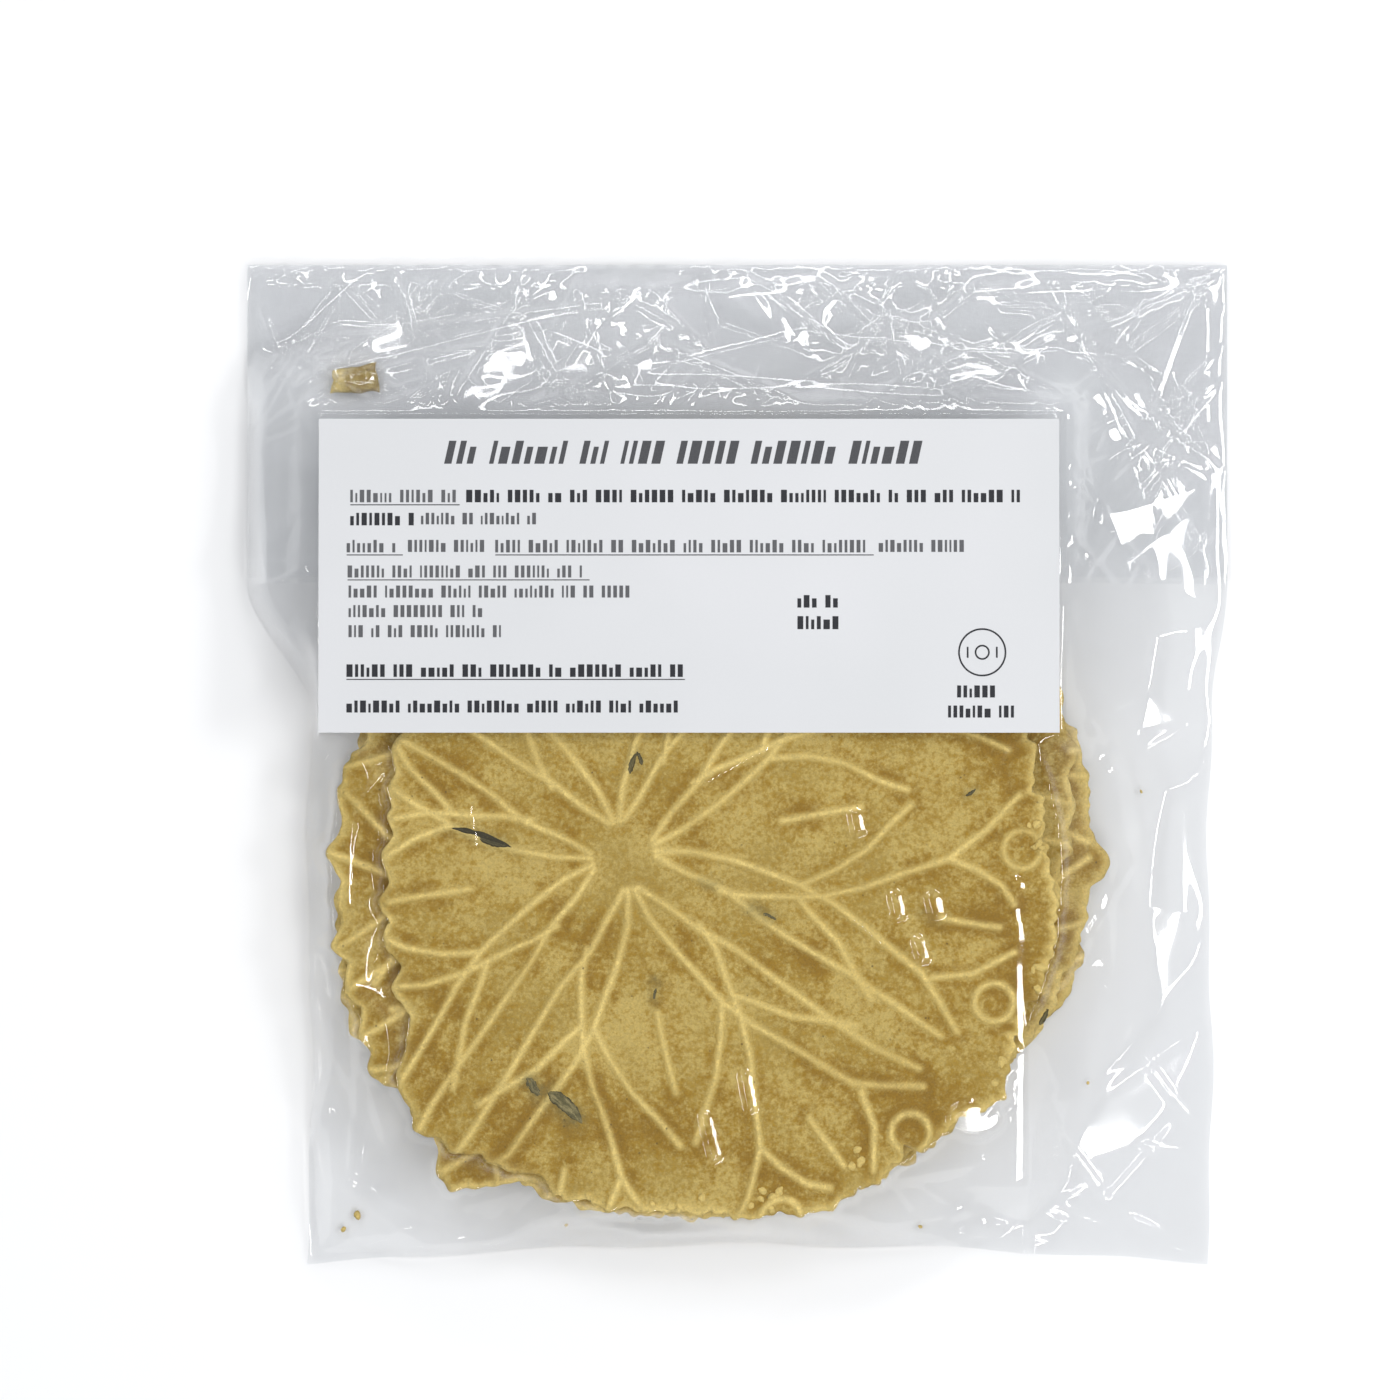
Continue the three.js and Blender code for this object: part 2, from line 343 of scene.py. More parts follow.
class Wire:
    """A node socket of one material. Sums, products and powers of wires add their Math nodes."""

    def __init__(self, tree, socket=None):
        self.tree, self.socket = tree, socket

    def node(self, kind, output=0, settings=None, **sockets):
        """Adds a node: its settings first, then the values or wires of its sockets."""
        made = self.tree.nodes.new(kind)
        for name, value in (settings or {}).items():
            if name == "stops":
                ramp = made.color_ramp
                ramp.elements[0].position, ramp.elements[0].color = value[0]
                ramp.elements[1].position, ramp.elements[1].color = value[-1]
                for position, colour in value[1:-1]:
                    ramp.elements.new(position).color = colour
            else:
                setattr(made, name, value)
        for name, value in sockets.items():
            key = int(name[1:]) if name[1:].isdigit() else name.replace("_", " ")
            socket = made.inputs[key]
            if isinstance(value, Wire):
                self.tree.links.new(value.socket, socket)
            else:
                socket.default_value = value
        return Wire(self.tree, made.outputs[output])

    def sum(self, operation, one, two):
        """Adds a Math node on two values or wires."""
        return self.node("ShaderNodeMath", settings={"operation": operation}, i0=one, i1=two)

    __add__ = __radd__ = lambda self, other: self.sum("ADD", self, other)
    __mul__ = __rmul__ = lambda self, other: self.sum("MULTIPLY", self, other)
    __sub__ = lambda self, other: self.sum("SUBTRACT", self, other)
    __rsub__ = lambda self, other: self.sum("SUBTRACT", other, self)
    __truediv__ = lambda self, other: self.sum("DIVIDE", self, other)
    __pow__ = lambda self, other: self.sum("POWER", self, other)

    def clamp(self):
        """The value held between 0 and 1."""
        return self.node("ShaderNodeClamp", Value=self)

    def noise(self, size, detail=2.0, rough=0.5):
        """Seamless noise with grains of about size millimetres, read at this wire's place."""
        return self.node("ShaderNodeTexNoise", Vector=self, Scale=1 / (size * MM), Detail=detail,
                         Roughness=rough)

    def blend(self, one, two):
        """The colour one turning into the colour two as this value goes from 0 to 1."""
        return self.node("ShaderNodeMix", 2, {"data_type": "RGBA"}, i0=self, i6=one, i7=two)

    def bump(self, strength, depth):
        """How a surface tilts where this value is its height, over a depth in millimetres."""
        return self.node("ShaderNodeBump", Strength=strength, Distance=depth * MM, Height=self)

    def painted(self, name, output="Fac"):
        """The values that paint() stored under a name."""
        return self.node("ShaderNodeAttribute", output, {"attribute_name": name})


def start_finish(name):
    """A new material with no nodes, and a wire to start its recipe from."""
    material = bpy.data.materials.new(name)
    material.use_nodes = True
    material.node_tree.nodes.clear()
    return material, Wire(material.node_tree)


def end_finish(start, surface):
    """Puts a shader on the material's output."""
    start.node("ShaderNodeOutputMaterial", output=slice(0), Surface=surface)


def end_solid_finish(start, **sockets):
    """Ends the recipe of a solid surface, with the values or wires of its shader's sockets."""
    end_finish(start, start.node("ShaderNodeBsdfPrincipled", **sockets))


def object_place(start):
    """The point on the piece, in metres."""
    return start.node("ShaderNodeTexCoord", "Object")


PORE_PITCH, PORE_RADIUS = 2.1, 0.27
PALE_DOUGH = (0.56, 0.41, 0.115, 1)
BAKED_DOUGH = (0.385, 0.262, 0.05, 1)
# Toasted brown, also used as the painted shade beside the veins.
TOASTED_AND_SHADED_DOUGH = (0.335, 0.194, 0.009, 1)
SCORCHED_DOUGH = (0.225, 0.118, 0.004, 1)
VEIN_DOUGH = (0.80, 0.61, 0.205, 1)
GREENED_DOUGH = (0.17, 0.155, 0.06, 1)
PORE = (0.085, 0.062, 0.02, 1)

baked, start = start_finish("baked_wafer")
place = object_place(start)
vein = start.painted("vein")
toast = start.painted("toast")
herb = start.painted("herb")
cloud = place.noise(15, 3, 0.6)
mottle = place.noise(3.0, 3, 0.75)
crumb_grain = place.noise(1.1, 3, 0.7)
grain = place.noise(0.45, 2, 0.7)
colour = ((cloud - 0.45) * 3.5 + (crumb_grain - 0.5) * 4.5 + 0.35).clamp().blend(PALE_DOUGH, BAKED_DOUGH)
# Browning follows the toast value, which also carries painted shade beside the veins, so the toasted and
# scorched browns here are partly painted shade.
browning_and_shade = toast - 0.1 + (mottle - 0.5) * 1.8 + (crumb_grain - 0.5) * 2.6
colour = browning_and_shade.clamp().blend(colour, TOASTED_AND_SHADED_DOUGH)
scorched = ((toast - 0.52) * 1.7 + (mottle - 0.5) * 2.4 + (crumb_grain - 0.5) * 2.0).clamp()
colour = (scorched * 0.6).blend(colour, SCORCHED_DOUGH)
colour = (vein * (0.92 + (crumb_grain - 0.5) * 1.3)).clamp().blend(colour, VEIN_DOUGH)
colour = (herb * (0.55 + (mottle - 0.5) * 2.2)).clamp().blend(colour, GREENED_DOUGH)
spots = start.node("ShaderNodeTexVoronoi", "Distance", Vector=place, Scale=1 / (PORE_PITCH * MM))
pores = ((PORE_RADIUS / PORE_PITCH - spots) * 14.0).clamp() * ((mottle - 0.5) * 9.0).clamp()
colour = (pores * 0.8).clamp().blend(colour, PORE)
light_grain = 0.38 + grain * 0.66 + crumb_grain * 0.60
colour = start.node("ShaderNodeVectorMath", 0, {"operation": "SCALE"}, i0=colour, Scale=light_grain)
relief = grain * 0.8 + crumb_grain * 1.8
dull = 0.46 + crumb_grain * 0.28
end_solid_finish(start, Base_Color=colour, Roughness=dull, IOR=1.42, Normal=relief.bump(0.85, 0.22))

for wafer in WAFERS:
    cells = FINE_CELLS.get(wafer.name, PLAIN_CELLS)
    under_cells = cells if wafer is WAFERS[0] else HIDDEN_CELLS
    upper = wafer_face(wafer, cells, 1, 0)
    piece = close_faces(upper, wafer_face(wafer, under_cells, -1, UNDER_INSET))
    piece.data.materials.append(baked)
    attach(piece, "root")
    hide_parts("bag")


# -------------------- rosemary
# Chopped rosemary leaves went into the dough. A few lie at the surface of the top wafer, pressed
# flat by the iron: narrow leaves, dark at their rolled edges and greyer down the middle.
top = WAFERS[-1]
# Each leaf: its middle, length, width, turn in degrees, how far it stands out, and how dark it is.
LEAVES = [((-51.0, -14.5), 12.8, 1.1, -18, 0.12, 1.0), ((-48.6, -15.3), 6.2, 1.3, -15, 0.1, 0.8),
          ((-34.4, -68.2), 9.6, 2.9, -42, 0.12, 0.25), ((-40.6, -64.0), 4.6, 2.3, -58, 0.05, 0.4),
          ((-20.8, 0.4), 4.6, 1.1, 72, 0.12, 0.5), ((-19.6, 1.4), 3.0, 0.8, 112, 0.14, 0.6),
          ((6.2, -30.2), 3.6, 0.8, -24, 0.05, 0.6), ((46.5, -5.4), 2.6, 0.7, 35, 0.1, 0.7),
          ((-16.4, -45.6), 2.6, 0.7, 80, 0.04, 0.6), ((61.0, -50.2), 3.6, 1.0, 62, 0.1, 0.6)]
LEAF_COLUMNS, LEAF_ROWS = 30, 10
LEAF_THICKNESS = 0.3
LEAF_DULL, LEAF_GREY = (0.125, 0.108, 0.036, 1), (0.35, 0.29, 0.12, 1)
LEAF_DARK = (0.034, 0.028, 0.009, 1)


def thicken(piece, thickness):
    """Gives a sheet its thickness in millimetres, below the face that it has."""
    bpy.ops.object.modifier_add(type="SOLIDIFY")
    piece.modifiers[-1].thickness = thickness * MM
    piece.modifiers[-1].offset = -1
    bpy.ops.object.modifier_apply(modifier=piece.modifiers[-1].name)


def press_leaf(number, middle, length, width, turn, out, dark):
    """One leaf: a long grid with ragged pointed ends, grooved along its middle and low at its edges."""
    cosine, sine = math.cos(math.radians(turn)), math.sin(math.radians(turn))

    def place(a, b):
        taper = np.clip(1 - np.abs(a) ** 2.2, 0, 1) ** 0.6 * (1 - 0.2 * a)
        taper = taper + 0.12 * waves(a, a, 0.5, 60 + number)
        bow = 0.05 * length * (1 - a * a) * (-1) ** number
        along, across = a * length / 2, b * width / 2 * taper + bow
        x = middle[0] + along * cosine - across * sine
        y = middle[1] + along * sine + across * cosine
        roll = out * (1 - 0.5 * np.exp(-((b / 0.2) ** 2))) - 0.16 * np.abs(b) ** 6 - 0.16 * np.abs(a) ** 10
        return x, y, top.face(x, y, 1) + roll + 0.03 * waves(x, y, 1.2, 70 + number)

    piece = lay_grid("rosemary", LEAF_COLUMNS, LEAF_ROWS, place)
    along, across = np.meshgrid(np.linspace(-1, 1, LEAF_COLUMNS + 1), np.linspace(-1, 1, LEAF_ROWS + 1))
    along, across = along.ravel(), across.ravel()
    streak_at = [along * length * 0.25, across * 3 + number * 7, np.full(along.size, dark)]
    paint(piece, "streak_at", np.column_stack(streak_at))
    paint(piece, "edge", np.abs(across))
    thicken(piece, LEAF_THICKNESS)
    return piece


def join_pieces(name, parts):
    """Several objects as one, shaded smooth."""
    select_only(*parts)
    bpy.ops.object.join()
    bpy.ops.object.shade_smooth()
    parts[0].name = name
    parts[0].data.name = name
    return parts[0]


rosemary = join_pieces("rosemary", [press_leaf(number, *leaf) for number, leaf in enumerate(LEAVES)])
herb, start = start_finish("rosemary_leaf")
place = object_place(start)
streak_at = start.painted("streak_at", "Vector")
edge = start.painted("edge")
dark = start.node("ShaderNodeSeparateXYZ", "Z", Vector=streak_at)
streaks = start.node("ShaderNodeTexNoise", Vector=streak_at, Scale=1.0, Detail=3.0, Roughness=0.6)
specks = place.noise(0.3, 2, 0.6)
colour = ((streaks - 0.42) * 5.0).clamp().blend(LEAF_DULL, LEAF_GREY)
shaded = edge ** 4.0 * 0.9 + dark + (specks - 0.5) * 0.9
colour = shaded.clamp().blend(colour, LEAF_DARK)
end_solid_finish(start, Base_Color=colour, Roughness=0.5 + specks * 0.3,
                 Normal=(specks + streaks).bump(0.6, 0.1))
rosemary.data.materials.append(herb)
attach(rosemary, "root")
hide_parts("bag")


# -------------------- crumbs
# Dry crumbs break off the rims in the bag. Most cling to the ragged rim of the top wafer, a few
# have slid to the edges of the bag, and one larger flake lies between the label and the mouth.
BAG_FLOOR = 1.1  # height of what lies loose between the sheets
# Crumbs off the wafers: place, height, and size along, across and up.
LOOSE = [((-76.4, -90.6), BAG_FLOOR, 1.8, 1.2, 0.9), ((-79.2, -93.4), BAG_FLOOR, 1.2, 0.9, 0.7),
         ((-34.4, -92.6), BAG_FLOOR, 0.8, 0.6, 0.5), ((36.8, -92.9), BAG_FLOOR, 1.0, 0.7, 0.5),
         ((81.2, -5.4), BAG_FLOOR, 0.9, 0.5, 0.5), ((70.5, -64.0), BAG_FLOOR, 0.7, 0.6, 0.4)]
# Crumbs that cling to the top wafer: the middle of each cluster in degrees, how many, how far in.
CLUSTERS = [(-98, 4, 2.4), (-80, 7, 3.4), (-64, 3, 6.0), (-38, 3, 2.0), (-17, 4, 1.6), (9, 5, 2.4),
            (31, 4, 3.0)]


def crumb(spot, height, size, seed):
    """A small lump with a broken, pitted surface."""
    select_only()
    bpy.ops.mesh.primitive_ico_sphere_add(subdivisions=3 if max(size) > 1 else 2, radius=0.5)
    piece = bpy.context.object
    points = read_points(piece)
    lumps = waves(points[:, 0] + points[:, 2], points[:, 1] - points[:, 2], 0.55, seed)
    points *= (1 + 0.13 * lumps)[:, None]
    turn = seed * 2.4
    x, y = points[:, 0] * size[0], points[:, 1] * size[1]
    move_points(piece, np.column_stack([spot[0] + x * math.cos(turn) - y * math.sin(turn),
                                        spot[1] + x * math.sin(turn) + y * math.cos(turn),
                                        height + points[:, 2] * size[2]]))
    return piece


draw = np.random.default_rng(31)
parts = [crumb(spot, height, size, 40 + number) for number, (spot, height, *size) in enumerate(LOOSE)]
for middle, count, inward in CLUSTERS:
    for _ in range(count):
        angle = math.radians(middle + draw.normal(0, 2.4))
        reach = np.interp(angle, top.angles, top.rim) - inward * draw.uniform(0.4, 1.5)
        spot = np.array([top.middle[0] + reach * math.cos(angle),
                         top.middle[1] + reach * math.sin(angle)])
        size = draw.uniform(0.5, 1.15) * np.array([draw.uniform(1.6, 3.0), draw.uniform(1.2, 2.0), 0.9])
        height = float(top.face(spot[:1], spot[1:], 1)[0]) - 0.12 * size[2]
        parts.append(crumb(spot, height, size, 100 + len(parts)))
crumbs = join_pieces("crumbs", parts)
for name, value in (("vein", 0.7), ("toast", 0.25)):
    paint(crumbs, name, np.full(len(crumbs.data.vertices), value))
crumbs.data.materials.append(baked)

FLAKE_MIDDLE = (-76.9, 77.4)
FLAKE_LENGTH, FLAKE_WIDTH, FLAKE_HEIGHT = 9.2, 5.2, 1.5


def flake_top(a, b):
    """A shard of rim: nearly a rectangle, with broken ends and one lip along its side."""
    x = FLAKE_MIDDLE[0] + a * FLAKE_LENGTH / 2 * (1 - 0.07 * b) + 0.25 * waves(a, b, 0.9, 81)
    y = FLAKE_MIDDLE[1] + b * FLAKE_WIDTH / 2 * (1 + 0.12 * a) + 0.25 * waves(a, b, 0.8, 82) + 0.5 * a
    edge = np.minimum(1 - np.abs(a), 1 - np.abs(b))
    lift = FLAKE_HEIGHT * (0.45 + 0.55 * smooth(edge / 0.22)) + 0.35 * smooth((b - 0.4) / 0.4)
    return x, y, BAG_FLOOR + lift + 0.06 * waves(x, y, 1.1, 83)


def flake_bottom(a, b):
    """The shard's flat underside, a little smaller than its top."""
    x, y, z = flake_top(0.94 * a, 0.94 * b)
    return x, y, BAG_FLOOR + 0.02 * z


flake = close_faces(lay_grid("flake", 40, 24, flake_top), lay_grid("flake_bottom", 20, 12, flake_bottom))
pale_end = smooth((FLAKE_MIDDLE[0] - 1.4 - read_points(flake)[:, 0] / MM) / 1.5)
paint(flake, "vein", 0.95 * pale_end)
paint(flake, "toast", 0.35 * (1 - pale_end))
flake.data.materials.append(baked)
for piece in (crumbs, flake):
    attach(piece, "root")
    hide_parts("bag")


# -------------------- the bag
# A flat tube of clear polypropylene, welded across its bottom. It stands tented over the stack, and
# its open mouth is folded forward over the front as a double flap, which the label holds down. The
# film is thin and stiff, so it creases in straight lines between sharp points.
BAG_SPAN = bag_high.y - bag_low.y
MOUTH_WIDTH = bag_high.x - bag_low.x
SIDE_IN_LEFT, SIDE_IN_RIGHT = 12.5, 3.5  # how far the stack draws the sides in below the mouth
FLAP_EDGE = bag_high.y - 64.2  # the mouth's cut edge
FLARE_LENGTH = 26  # length over which the sides widen to the mouth
HEM_BOW, HEM_WIDTH = 4, 3.0
EDGE_LIFT = 0.9
FOOT_MIDDLE, FOOT_HALF_SIZE = (-4, -23), (66, 60)  # what the stack presses flat on the table
SHEET_GAP = 0.08  # least gap between the front and the back
PAPER = 0.25
LABEL_DROP = label_high.z - PAPER - label_low.z
LABEL_MARGIN = 0.9  # the film is held down this far beyond the paper
FLAP_ROOM = 0.75  # what the flap takes up below the paper
FILM_CLEAR = 0.14  # the film stands this far off the wafers' veins
RIM_CLEAR = 0.8  # and this far out from their rims
COARSE_COLUMNS, COARSE_ROWS = 200, 204
SETTLE_PASSES = 900
FULL_TENT = 20.0  # height from which the film droops
DROOP_KINK, DROOP_REST = 0.3, 0.25  # share of that height where it kinks, and steepness below
STEEPEST = 0.8  # slope at which the film leaves a rim
SIDE_STEEPEST = 2.3  # its slope where the stack comes close to the bag's outline
SLOPE_PASSES = 26
LOOSE_LIFT = 2.5  # film that stands this far off the wafers is free to crease


def bag_place(across, along):
    """The film's place for a share across the bag and a share from the hem to the mouth fold. Its
    sides sway a little, and its hem is pulled up between the corners."""
    row = bag_low.y + BAG_SPAN * along
    flare = smooth((row - (FLAP_EDGE - FLARE_LENGTH)) / FLARE_LENGTH)
    sway = 0.5 * np.sin(row / 13) + 0.3 * np.sin(row / 5.1 + 1)
    left = bag_low.x + SIDE_IN_LEFT * (1 - flare) + sway * (1 - flare)
    right = bag_high.x - SIDE_IN_RIGHT * (1 - flare) + sway * (1 - flare)
    x = left + (right - left) * across
    from_middle = 2 * across - 1
    pull = HEM_BOW * np.clip(1 - from_middle ** 2, 0, 1)
    pull = pull + 0.4 * np.sin(across * 29) * (1 - from_middle ** 8)
    return x, row + pull * (1 - along) ** 3


def to_outline(across, along):
    """Distance in from the film's outline."""
    side = np.minimum(across, 1 - across) * MOUTH_WIDTH
    return np.minimum(side, np.minimum(along, 1 - along) * BAG_SPAN)


def label_underside(y):
    """Height of the paper's lower face, which bends down towards the mouth."""
    share = np.clip((y - label_low.y) / (label_high.y - label_low.y), 0, 1)
    return label_high.z - PAPER - LABEL_DROP * share ** 2


def label_distance(x, y):
    """Distance outside the film that the label holds."""
    dx = np.maximum(0, np.maximum(label_low.x - x, x - label_high.x) - LABEL_MARGIN)
    dy = np.maximum(0, np.maximum(label_low.y - y, y - label_high.y) - LABEL_MARGIN)
    return np.hypot(dx, dy)


def stack_top(x, y):
    """Height of the highest wafer below the film, or 0 beside the stack."""
    height = np.zeros_like(x)
    for wafer in WAFERS:
        on = wafer.height + HALF_BODY + VEIN_HEIGHT + baked_warp(x, y)
        in_circle = np.hypot(x - wafer.middle[0], y - wafer.middle[1]) < wafer.radius + RIM_CLEAR
        height = np.where((wafer.inside(x, y) > -RIM_CLEAR) | in_circle, on, height)
    return height


def back_height(across, along):
    """The sheet below the stack: on the table under it, and lifting towards its own edges."""
    x, y = bag_place(across, along)
    foot = np.hypot((x - FOOT_MIDDLE[0]) / FOOT_HALF_SIZE[0], (y - FOOT_MIDDLE[1]) / FOOT_HALF_SIZE[1])
    outside = np.maximum(0, foot - 1) * FOOT_HALF_SIZE[1]
    share = outside / (outside + to_outline(across, along) + 1e-6)
    return 0.02 + EDGE_LIFT * share ** 2 + 0.3 * share * (1 + waves(x, y, 17, 90)) * 0.5


# The tent: film stretched like a soap skin over the stack, from the label out to the bag's outline.
across, along = np.meshgrid(np.linspace(0, 1, COARSE_COLUMNS + 1), np.linspace(0, 1, COARSE_ROWS + 1))
x, y = bag_place(across, along)
resting = stack_top(x, y) + FILM_CLEAR
held = label_distance(x, y) == 0
tent = np.where(held, np.maximum(label_underside(y) - FLAP_ROOM, resting), resting)
outline = np.ones_like(held)
outline[1:-1, 1:-1] = False
lowest = back_height(across, along) + SHEET_GAP
tent[outline] = lowest[outline]
fixed = held | outline
for _ in range(SETTLE_PASSES):
    even = tent.copy()
    even[1:-1, 1:-1] = (tent[:-2, 1:-1] + tent[2:, 1:-1] + tent[1:-1, :-2] + tent[1:-1, 2:]) / 4
    tent = np.where(fixed, tent, np.maximum(even, resting))
# The film is stiff: it drops steeply off the stack, then lies low out to its edges.
share = np.clip((tent - lowest) / np.maximum(FULL_TENT - lowest, 1), 0, 1)
kinked = np.clip((share - DROOP_KINK) / (1 - DROOP_KINK), 0, 1) ** 1.1
drooped = lowest + (FULL_TENT - lowest) * (DROOP_REST * share + (1 - DROOP_REST) * kinked)
tent = np.where(fixed, tent, np.maximum(np.minimum(tent, drooped), resting))
# No cliff stands at a rim: the film slopes down from it, and more steeply close to the outline.
ceiling = lowest + SIDE_STEEPEST * to_outline(across, along)
for _ in range(SLOPE_PASSES):
    for down, right in ((0, 1), (0, -1), (1, 0), (-1, 0), (1, 1), (1, -1), (-1, 1), (-1, -1)):
        step = math.hypot(down * BAG_SPAN / COARSE_ROWS, right * MOUTH_WIDTH / COARSE_COLUMNS)
        spread = np.minimum(np.roll(tent, (down, right), (0, 1)) - STEEPEST * step, ceiling)
        tent = np.where(fixed, tent, np.maximum(tent, spread))
loose = smooth((tent - resting) / LOOSE_LIFT)


def look_up(field, across, along):
    """A value of the coarse film anywhere between its points."""
    column = np.clip(across * COARSE_COLUMNS, 0, COARSE_COLUMNS - 1e-6)
    row = np.clip(along * COARSE_ROWS, 0, COARSE_ROWS - 1e-6)
    c, r = column.astype(int), row.astype(int)
    p, q = column - c, row - r
    near = field[r, c] * (1 - p) + field[r, c + 1] * p
    far = field[r + 1, c] * (1 - p) + field[r + 1, c + 1] * p
    return near * (1 - q) + far * q


def crumple(x, y, spacing, seed, turn=0.0, stretch=1.0, height=None):
    """Flat facets between seeded points, with straight creases where they meet. The points stand at
    random from -1 to 1, or as high as height puts them."""
    draw = np.random.default_rng(seed)
    p, q = turned(x, y, turn)
    p = p / stretch
    corners = []
    for a in np.arange(p.min() - 2 * spacing, p.max() + 2 * spacing, spacing):
        for b in np.arange(q.min() - 2 * spacing, q.max() + 2 * spacing, spacing):
            corners.append(Vector((a, b)) + Vector(draw.uniform(-0.42, 0.42, 2)) * spacing)
    lift = draw.uniform(-1, 1, len(corners))
    if height:
        a, b = np.array(corners).T
        lift = height(*turned(a * stretch, b, -turn))
    corners, _, facets, *_ = geometry.delaunay_2d_cdt(corners, [], [], 0, 1e-7)
    result = np.zeros_like(x)
    for i, j, k in facets:
        a, b, c = corners[i], corners[j], corners[k]
        near = ((p >= min(a.x, b.x, c.x)) & (p <= max(a.x, b.x, c.x))
                & (q >= min(a.y, b.y, c.y)) & (q <= max(a.y, b.y, c.y)))
        if not near.any():
            continue
        area = (b.x - a.x) * (c.y - a.y) - (c.x - a.x) * (b.y - a.y)
        u = ((b.x - p[near]) * (c.y - q[near]) - (c.x - p[near]) * (b.y - q[near])) / area
        v = ((c.x - p[near]) * (a.y - q[near]) - (a.x - p[near]) * (c.y - q[near])) / area
        w = 1 - u - v
        within = (u >= -1e-6) & (v >= -1e-6) & (w >= -1e-6)
        values = result[near]
        values[within] = (u * lift[i] + v * lift[j] + w * lift[k])[within]
        result[near] = values
    return result


def pinch(x, y, start, end, height, width):
    """A sharp standing crease from start to end, fading out at both."""
    run = Vector(end) - Vector(start)
    part = np.clip(((x - start[0]) * run.x + (y - start[1]) * run.y) / run.length_squared, 0, 1)
    gap = np.hypot(x - start[0] - part * run.x, y - start[1] - part * run.y)
    side = np.clip(gap / (1.6 * width), 0, 1)
    return height * (1 - side * side) ** 2 * smooth(4 * part) * smooth(4 * (1 - part))


def pinches(x, y, box, count, own, longest, height, width, seed=0):
    """Seeded straight standing creases within a box, mostly along its diagonals."""
    draw = np.random.default_rng(seed + own)
    total = np.zeros_like(x)
    for _ in range(count):
        middle = Vector((draw.uniform(box[0], box[1]), draw.uniform(box[2], box[3])))
        turn = draw.choice([0.62, -0.66, 1.15, -1.2, 0.15]) + draw.normal(0, 0.2)
        reach = longest * draw.uniform(0.3, 1) / 2
        run = Vector((math.cos(turn), math.sin(turn))) * reach
        share = draw.uniform(0.6, 1)
        near = np.hypot(x - middle.x, y - middle.y) < reach + 3 * width
        crease = pinch(x[near], y[near], middle - run, middle + run, height * share, width * share)
        total[near] = np.maximum(total[near], crease)
    return total


# Standing creases of the front: both ends, height and width.
MAIN_CREASES = [((-74.6, -48), (-77.8, -88), 1.1, 1.1),
                ((-84, -52), (-76, -66), 0.7, 0.9), ((-84, -80), (-62, -97), 0.8, 0.9),
                ((-76, -84), (-58, -92), 0.7, 0.9), ((-50, -94), (4, -95), 0.6, 0.9),
                ((20, -93), (60, -88), 0.7, 1.0), ((60, -88), (86, -98), 0.7, 0.9),
                ((72, -88), (88, -70), 0.7, 0.9),
                ((58.5, -66), (76.5, -90), 0.9, 1.0), ((76.5, -90), (92.0, -98), 0.8, 1.0),
                ((79.5, -56), (93.5, -75), 0.8, 0.9), ((80.0, -76), (92.5, -82.5), 0.7, 0.8),
                ((80.0, -76), (94.0, -79.0), 0.6, 0.8), ((74.2, -12), (74.4, -52), 0.4, 1.0),
                ((24, -84), (57, -78), 0.9, 1.3)]
# Scattered creases: their box, how many, seed, greatest length, height and width.
FRONT_PINCHES = ((-90, 96, -98, 20), 60, 6, 38, 0.62, 0.95)
FLAP_PINCHES = ((-98, 98, 38, 99), 76, 4, 76, 1.05, 0.85)
WELD_HEIGHT, WELD_HALF_WIDTH = 0.35, 0.9
# Creases on top of the stack with a flat flank: both ends, slope and width.
FLAT_FOLDS = [((30.5, -24.5), (32, -31.5), 0.38, 2.6), ((38, -25), (39.4, -31), 0.38, 2.9),
              ((35, -33.5), (37, -40), 0.38, 2.5), ((-7.4, -68), (-4.4, -80), 0.41, 2.5),
              ((0.6, -60), (2.6, -70), 0.41, 2.4), ((22.5, -8.5), (24, -14.5), 0.38, 2.6),
              ((-9, -4.5), (8, 5), 0.66, 1.1), ((21, -30), (30, -38), 0.66, 1.1),
              ((-44, -66), (-36, -70), 0.66, 1.0), ((-53, -6), (-51, -18), 0.66, 1.0)]
# Layers of facets in the film: how far they stand out, spacing, seed, turn and stretch.
FRONT_FACETS = [(1.0, 24, 3, 35, 1.5), (0.5, 11, 4, -30, 1.7)]
FLAP_FACETS = [(1.1, 23, 1, 38, 2.3), (0.4, 14, 2, -42, 2.2)]
TENT_FACETS = (15, 12, 28, 1.35)  # the tent's own: spacing, seed, turn and stretch
FACET_SINK = 1.3  # how far a facet may cut in below the tent
# The long crease down the right side: its place, its height and its outer flank's slope, by the
# distance down from the origin.
RIDGE_X = [(18, 54.7), (24, 55.7), (29, 54.6), (34, 55.6), (40, 54.9), (60, 55.2), (84, 55.6)]
RIDGE_HEIGHT = [(8, 0), (12, 15.5), (23, 20.35), (56, 20.35), (84, 12.17), (92, 3.0)]
RIDGE_FLANK = [(55, 0.37), (57, 0.08)]
FLANK_WIDTH = 2.4
# A flat patch of film beside it.
SHELF_MIDDLE, SHELF_HEIGHT, SHELF_REACH = (47.5, -70.5), 19.15, 5.5
SHELF_SLOPES = (-0.177, 0.110)  # rise towards the right and towards the mouth


def facet_layers(x, y, layers, seed=0):
    """Several layers of facets, one on another."""
    return sum(out * crumple(x, y, spacing, seed + own, turn, stretch)
               for out, spacing, own, turn, stretch in layers)


def ridge_height(x, y):
    """The long crease: level over the top wafer, then falling towards the hem. Its outer flank is
    narrow and flat, with a steep foot, and its inner one is gentle."""
    place, crest, flank = [np.interp(-y, *zip(*course)) for course in (RIDGE_X, RIDGE_HEIGHT, RIDGE_FLANK)]
    outward = x - place
    foot = 1.3 * np.maximum(outward - FLANK_WIDTH, 0)
    return crest - np.where(outward > 0, flank * np.minimum(outward, FLANK_WIDTH) + foot, -0.2 * outward)


